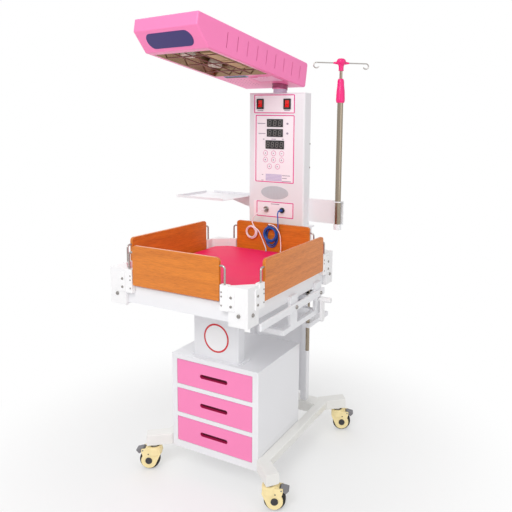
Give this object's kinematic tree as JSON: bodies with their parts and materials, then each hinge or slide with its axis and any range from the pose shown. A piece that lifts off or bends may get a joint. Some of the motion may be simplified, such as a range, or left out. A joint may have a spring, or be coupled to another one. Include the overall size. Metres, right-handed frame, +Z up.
{
  "type": "infant radiant warmer",
  "caption": "Wheeled infant radiant warmer: tilting bed with drop wooden walls, drawer cabinet, swivel heater hood, tray and drip pole.",
  "frame": {"origin": "on the floor under the middle of the whole warmer", "axes": "+Z up, -Y the front with the drawers, +X the right side seen from the front, with the drip pole"},
  "size_m": [0.7774, 0.8604, 1.7685],
  "materials": {
    "white_paint": "satin powder coat",
    "cream_paint": "satin powder coat",
    "pink_paint": "satin powder coat",
    "pink_plastic": "moulded, satin",
    "corner_plastic": "moulded, satin",
    "castor_plastic": "moulded nylon",
    "tyre_rubber": "smooth tread",
    "white_plastic": "moulded, satin",
    "grey_plastic": "moulded",
    "black_plastic": "moulded",
    "red_plastic": "translucent, moulded",
    "magenta_fabric": "welded vinyl cover",
    "beech": "clear lacquer",
    "stainless": "brushed",
    "bright_steel": "polished",
    "light_metal": "polished sheet",
    "ceramic": "glazed ceramic",
    "lamp_glass": "frosted",
    "label_film": "printed film",
    "white_cord": "soft, matt",
    "blue_cord": "soft, matt"
  },
  "bodies": {
    "warmer_stand": {"base_frame": "cream_paint", "cabinet_shell": "white_paint", "support_column": "white_paint", "rear_posts": "white_paint", "tilt_rod": "stainless", "control_box": "white_paint", "front_labels": "label_film", "front_fittings": "black_plastic", "neck_tube": "white_paint", "instrument_tray": "white_paint", "pole_bracket": "white_paint", "pole_tube": "stainless", "pole_grip": "pink_plastic", "sensor_plugs": "grey_plastic", "white_lead": "white_cord", "blue_lead": "blue_cord"},
    "castor_front_left": {"castor_housing_front_left": "castor_plastic"},
    "wheel_front_left": {"castor_wheel_front_left": "tyre_rubber"},
    "pedal_front_left": {"castor_pedal_front_left": "grey_plastic"},
    "castor_front_right": {"castor_housing_front_right": "castor_plastic"},
    "wheel_front_right": {"castor_wheel_front_right": "tyre_rubber"},
    "pedal_front_right": {"castor_pedal_front_right": "grey_plastic"},
    "castor_rear_left": {"castor_housing_rear_left": "castor_plastic"},
    "wheel_rear_left": {"castor_wheel_rear_left": "tyre_rubber"},
    "pedal_rear_left": {"castor_pedal_rear_left": "grey_plastic"},
    "castor_rear_right": {"castor_housing_rear_right": "castor_plastic"},
    "wheel_rear_right": {"castor_wheel_rear_right": "tyre_rubber"},
    "pedal_rear_right": {"castor_pedal_rear_right": "grey_plastic"},
    "drawer_top": {"drawer_top": "pink_paint"},
    "drawer_middle": {"drawer_middle": "pink_paint"},
    "drawer_low": {"drawer_low": "pink_paint"},
    "bed": {"deck_pan": "white_paint", "corner_posts": "corner_plastic", "wall_brackets": "light_metal", "corner_bolts": "stainless", "mattress": "magenta_fabric", "side_rails": "white_paint", "tilt_clamp": "light_metal", "sensor_tips": "grey_plastic", "sensor_tails": "white_cord", "white_coil": "white_cord", "blue_coil": "blue_cord"},
    "wall_front": {"wall_front": "beech", "wall_rods_front": "stainless"},
    "wall_back": {"wall_back": "beech", "wall_rods_back": "stainless"},
    "wall_left": {"wall_left": "beech", "wall_rods_left": "stainless"},
    "wall_right": {"wall_right": "beech", "wall_rods_right": "stainless"},
    "tilt_lever": {"tilt_lever": "white_plastic"},
    "rocker_left": {"rocker_left": "red_plastic"},
    "rocker_right": {"rocker_right": "red_plastic"},
    "heater_hood": {"hood_shell": "pink_paint", "hood_reflector": "light_metal", "hood_guard": "bright_steel", "heater_plates": "ceramic", "hood_lamps": "lamp_glass"},
    "drip_mast": {"pole_mast": "stainless", "pole_hooks": "pink_plastic"}
  },
  "joints": [
    {"name": "swivel_front_left", "type": "hinge", "parent": "warmer_stand", "child": "castor_front_left", "pos_m": [-0.26152, -0.2394, 0.108], "axis": [0, 0, 1], "continuous": true},
    {"name": "roll_front_left", "type": "hinge", "parent": "castor_front_left", "child": "wheel_front_left", "pos_m": [-0.27965, -0.24785, 0.04], "axis": [0.4226, -0.9063, 0], "continuous": true},
    {"name": "brake_front_left", "type": "hinge", "parent": "castor_front_left", "child": "pedal_front_left", "pos_m": [-0.3014, -0.25799, 0.082], "axis": [0.4226, -0.9063, 0], "range_deg": [0, 12]},
    {"name": "swivel_front_right", "type": "hinge", "parent": "warmer_stand", "child": "castor_front_right", "pos_m": [0.27619, -0.2394, 0.108], "axis": [0, 0, 1], "continuous": true},
    {"name": "roll_front_right", "type": "hinge", "parent": "castor_front_right", "child": "wheel_front_right", "pos_m": [0.29432, -0.23095, 0.04], "axis": [-0.4226, 0.9063, 0], "continuous": true},
    {"name": "brake_front_right", "type": "hinge", "parent": "castor_front_right", "child": "pedal_front_right", "pos_m": [0.31607, -0.2208, 0.082], "axis": [-0.4226, 0.9063, 0], "range_deg": [0, 12]},
    {"name": "swivel_rear_left", "type": "hinge", "parent": "warmer_stand", "child": "castor_rear_left", "pos_m": [-0.25945, 0.37345, 0.108], "axis": [0, 0, 1], "continuous": true},
    {"name": "roll_rear_left", "type": "hinge", "parent": "castor_rear_left", "child": "wheel_rear_left", "pos_m": [-0.27478, 0.38631, 0.04], "axis": [-0.6428, -0.766, 0], "continuous": true},
    {"name": "brake_rear_left", "type": "hinge", "parent": "castor_rear_left", "child": "pedal_rear_left", "pos_m": [-0.29316, 0.40173, 0.082], "axis": [-0.6428, -0.766, 0], "range_deg": [0, 12]},
    {"name": "swivel_rear_right", "type": "hinge", "parent": "warmer_stand", "child": "castor_rear_right", "pos_m": [0.27413, 0.37345, 0.108], "axis": [0, 0, 1], "continuous": true},
    {"name": "roll_rear_right", "type": "hinge", "parent": "castor_rear_right", "child": "wheel_rear_right", "pos_m": [0.29225, 0.3819, 0.04], "axis": [-0.4226, 0.9063, 0], "continuous": true},
    {"name": "brake_rear_right", "type": "hinge", "parent": "castor_rear_right", "child": "pedal_rear_right", "pos_m": [0.31401, 0.39204, 0.082], "axis": [-0.4226, 0.9063, 0], "range_deg": [0, 12]},
    {"name": "slide_drawer_top", "type": "slide", "parent": "warmer_stand", "child": "drawer_top", "axis": [0, -1, 0], "range_m": [0, 0.25]},
    {"name": "slide_drawer_middle", "type": "slide", "parent": "warmer_stand", "child": "drawer_middle", "axis": [0, -1, 0], "range_m": [0, 0.25]},
    {"name": "slide_drawer_low", "type": "slide", "parent": "warmer_stand", "child": "drawer_low", "axis": [0, -1, 0], "range_m": [0, 0.25]},
    {"name": "bed_tilt", "type": "hinge", "parent": "warmer_stand", "child": "bed", "pos_m": [0.00734, -0.16523, 0.782], "axis": [1, 0, 0], "range_deg": [-10, 10], "deforming": ["white_lead", "blue_lead"]},
    {"name": "drop_wall_front", "type": "slide", "parent": "bed", "child": "wall_front", "axis": [0, 0, -1], "range_m": [0, 0.044]},
    {"name": "drop_wall_back", "type": "slide", "parent": "bed", "child": "wall_back", "axis": [0, 0, -1], "range_m": [0, 0.044]},
    {"name": "drop_wall_left", "type": "slide", "parent": "bed", "child": "wall_left", "axis": [0, 0, -1], "range_m": [0, 0.044]},
    {"name": "drop_wall_right", "type": "slide", "parent": "bed", "child": "wall_right", "axis": [0, 0, -1], "range_m": [0, 0.032]},
    {"name": "turn_tilt_lever", "type": "hinge", "parent": "bed", "child": "tilt_lever", "pos_m": [0.29734, 0.10077, 0.7], "axis": [1, 0, 0], "range_deg": [0, 70]},
    {"name": "press_rocker_left", "type": "hinge", "parent": "warmer_stand", "child": "rocker_left", "pos_m": [-0.08166, 0.26277, 1.482], "axis": [1, 0, 0], "range_deg": [0, 14]},
    {"name": "press_rocker_right", "type": "hinge", "parent": "warmer_stand", "child": "rocker_right", "pos_m": [0.05334, 0.26277, 1.482], "axis": [1, 0, 0], "range_deg": [0, 14]},
    {"name": "hood_swivel", "type": "hinge", "parent": "warmer_stand", "child": "heater_hood", "pos_m": [-0.00066, 0.28977, 1.566], "axis": [0, 0, 1], "range_deg": [-80, 12]},
    {"name": "slide_drip_mast", "type": "slide", "parent": "warmer_stand", "child": "drip_mast", "axis": [0, 0, 1], "range_m": [-0.025, 0.32]}
  ]
}
